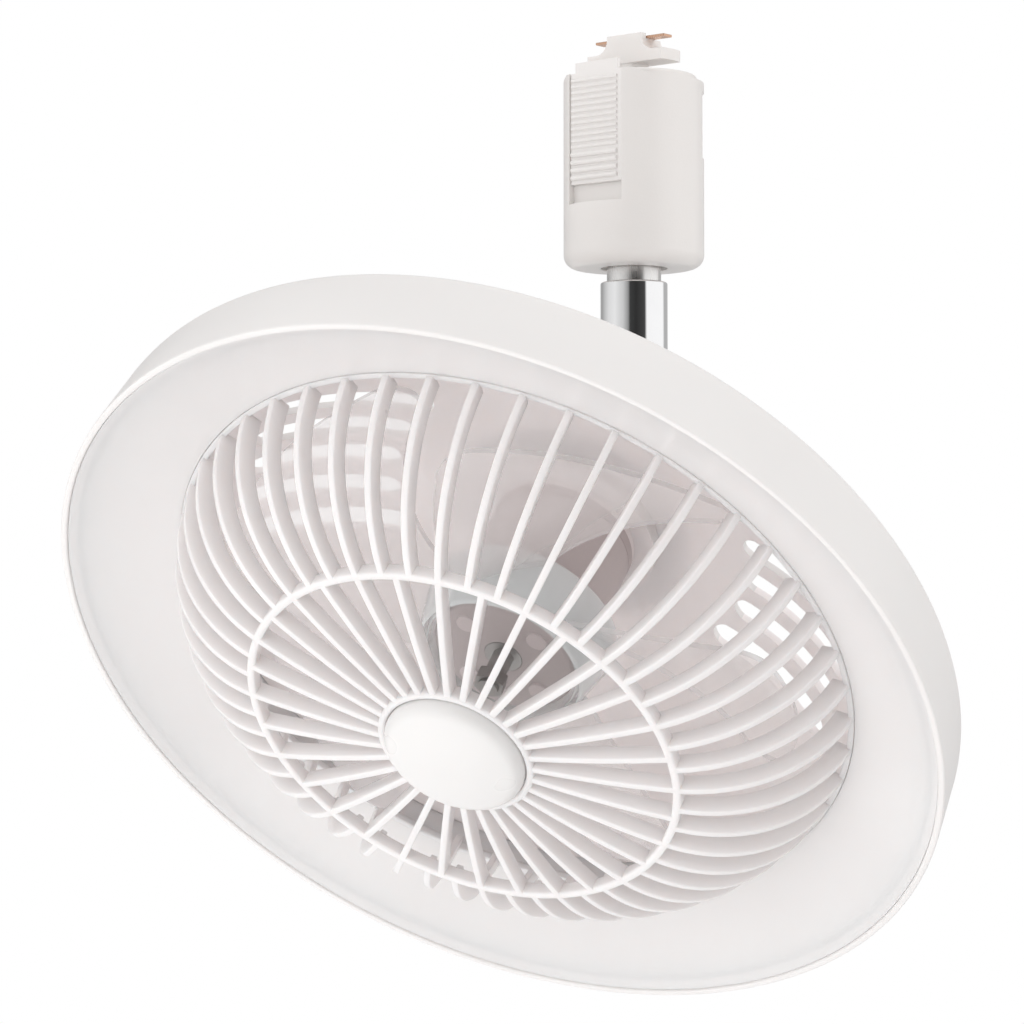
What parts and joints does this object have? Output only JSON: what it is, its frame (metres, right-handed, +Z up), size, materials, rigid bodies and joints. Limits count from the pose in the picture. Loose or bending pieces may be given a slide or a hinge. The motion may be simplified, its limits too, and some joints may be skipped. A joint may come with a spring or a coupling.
{
  "type": "track light with fan",
  "caption": "Rail light with a fan: plug-in adapter with a lock slide, chromed swivel stem, and a tilting round head with a milky light ring round a domed grille and a clear fan.",
  "frame": {"origin": "on the stem's axis, at the adapter's face that meets the rail", "axes": "+Z up into the rail; -Y is the side with the lock slide; the contact blades point along X"},
  "size_m": [0.2587, 0.2003, 0.2857],
  "materials": {
    "adapter_white": "satin",
    "key_plastic": "satin",
    "slide_plastic": "satin",
    "copper": "polished",
    "steel": "satin",
    "bush_plastic": "matt",
    "chrome": "mirror",
    "bracket_paint": "satin",
    "shell_white": "satin",
    "milk": "satin",
    "grille_white": "gloss",
    "board": "matt",
    "led": "gloss",
    "motor_paint": "satin",
    "rubber": "matt",
    "clear": "clear"
  },
  "bodies": {
    "adapter": {"adapter_body": "adapter_white", "adapter_top_cover": "adapter_white", "contact_key": "key_plastic", "contact_blades": "copper", "lock_spring": "steel", "swivel_bush": "bush_plastic"},
    "slider": {"lock_slider": "slide_plastic"},
    "stem": {"stem_neck": "steel", "neck_nut": "steel", "swivel_washer": "bush_plastic", "stem_tube": "chrome", "stem_eye": "chrome"},
    "head": {"tilt_bracket": "bracket_paint", "tilt_bolt": "steel", "tilt_nut": "steel", "tilt_washers": "bush_plastic", "bracket_screws": "steel", "driver_housing": "shell_white", "driver_board": "board", "rear_cover": "shell_white", "case_screws": "steel", "ring_housing": "shell_white", "led_board": "board", "led_chips": "led", "diffuser": "milk", "front_grille": "grille_white", "hub_cap": "grille_white", "motor_housing": "motor_paint", "motor_end_cover": "motor_paint", "motor_stator": "steel", "motor_bearings": "steel", "motor_pad": "rubber", "motor_screws": "steel"},
    "fan": {"motor_shaft": "steel", "motor_rotor": "steel", "impeller": "clear", "impeller_nut": "steel"}
  },
  "joints": [
    {"name": "stem_pan", "type": "hinge", "parent": "adapter", "child": "stem", "pos_m": [0, 0, -0.0576], "axis": [0, 0, 1], "range_deg": [-178, 158]},
    {"name": "head_tilt", "type": "hinge", "parent": "stem", "child": "head", "pos_m": [0, 0, -0.0957], "axis": [0.9848, 0.1736, 0], "range_deg": [-25, 45]},
    {"name": "fan_spin", "type": "hinge", "parent": "head", "child": "fan", "pos_m": [0, 0, -0.0957], "axis": [0.1228, -0.6964, -0.7071], "continuous": true},
    {"name": "lock_slide", "type": "slide", "parent": "adapter", "child": "slider", "axis": [0, 0, -1], "range_m": [0, 0.0045], "stiffness_N_per_m": 400, "springref_m": -0.005, "deforming": ["lock_spring"]}
  ]
}
